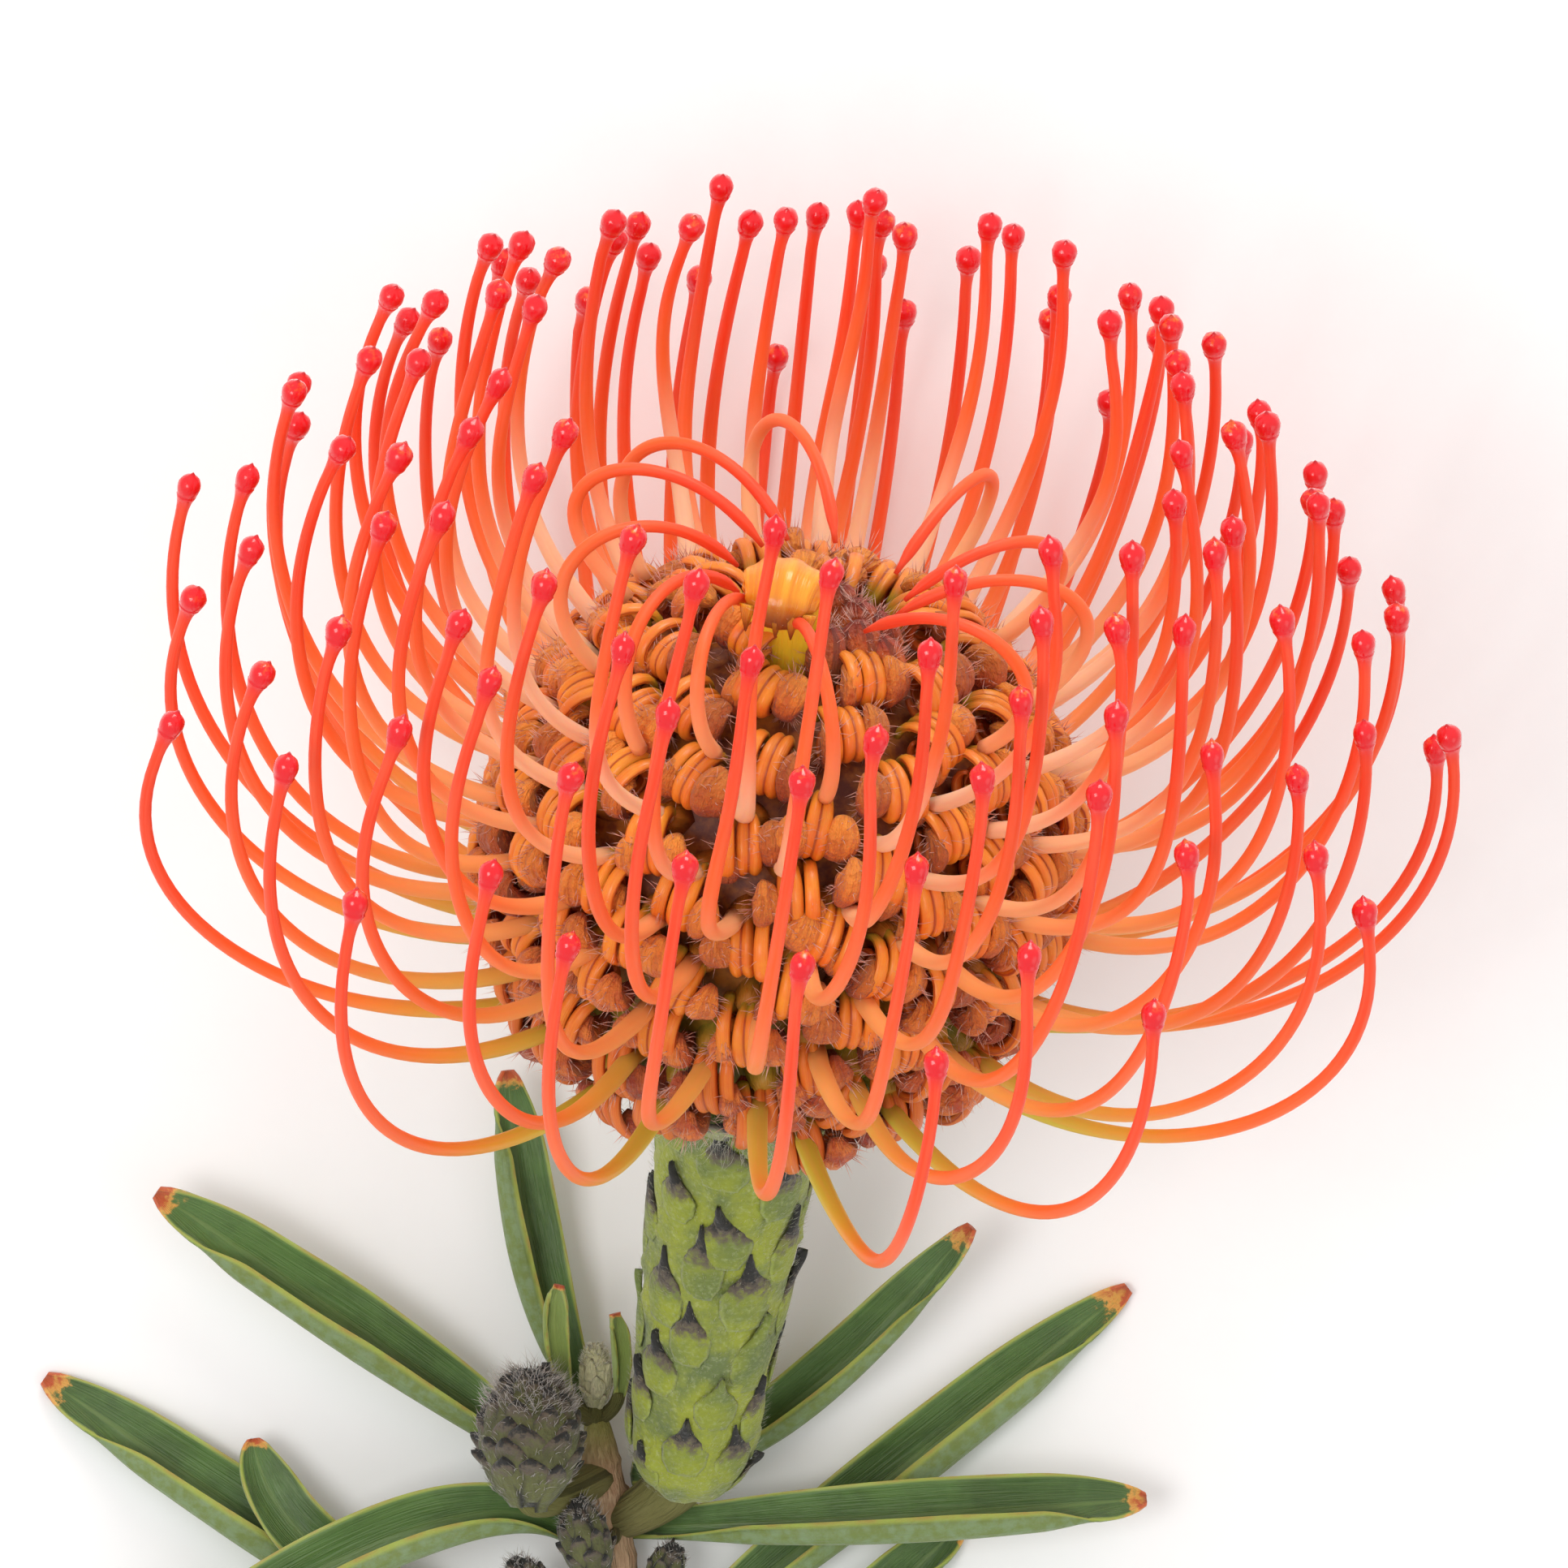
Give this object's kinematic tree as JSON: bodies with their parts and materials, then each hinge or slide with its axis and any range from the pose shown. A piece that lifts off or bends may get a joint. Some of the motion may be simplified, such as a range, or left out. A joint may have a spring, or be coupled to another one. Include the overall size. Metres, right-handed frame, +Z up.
{
  "type": "pincushion protea flower",
  "caption": "Cut pincushion protea lying on its side: a domed head of curved pin-like styles, a scaly green stalk, a short woody stem, folded leaves and buds.",
  "frame": {"origin": "on the surface the flower lies on, under the middle of the whole flower", "axes": "+Z up from the surface, +Y along the flower from the stem's cut end towards the head, +X to the right seen from above"},
  "size_m": [0.1172, 0.1442, 0.096],
  "materials": {
    "style": "waxy, orange at the root to crimson at the tip",
    "floret_petals": "glossy ribbed orange petals with hairy red-brown ends",
    "stalk_scales": "velvety green with dark hooked scale tips",
    "bark": "finely streaked tan bark",
    "leaf": "leathery, with thick pale margins and red-brown tips",
    "young_leaf": "soft pale green with fine hair",
    "bud_scales": "dark overlapping scales with grey wool",
    "shoot_wool": "pale silky wool"
  },
  "bodies": {
    "root": {"flower_head": "floret_petals", "flower_stalk": "stalk_scales", "stem": "bark", "style_01": "style", "style_02": "style", "style_03": "style", "style_04": "style", "style_05": "style", "style_06": "style", "style_07": "style", "style_08": "style", "style_09": "style", "style_10": "style", "style_11": "style", "style_12": "style", "style_13": "style", "style_14": "style", "style_15": "style", "style_16": "style", "style_17": "style", "style_18": "style", "style_19": "style", "style_20": "style", "style_21": "style", "style_22": "style", "style_23": "style", "style_24": "style", "style_25": "style", "style_26": "style", "style_27": "style", "style_28": "style", "style_29": "style", "style_30": "style", "style_31": "style", "style_32": "style", "style_33": "style", "style_34": "style", "closed_style_1": "style", "closed_style_2": "style", "closed_style_3": "style", "closed_style_4": "style", "leaf_01": "leaf", "leaf_02": "leaf", "leaf_03": "leaf", "leaf_04": "leaf", "leaf_05": "leaf", "leaf_06": "leaf", "leaf_07": "leaf", "leaf_08": "leaf", "leaf_09": "leaf", "leaf_10": "leaf", "leaf_11": "leaf", "bud_leaf_1": "young_leaf", "bud_leaf_2": "young_leaf", "bud_large": "bud_scales", "bud_middle": "bud_scales", "bud_side": "bud_scales", "bud_hidden": "bud_scales", "bud_shoot": "shoot_wool"}
  },
  "joints": []
}
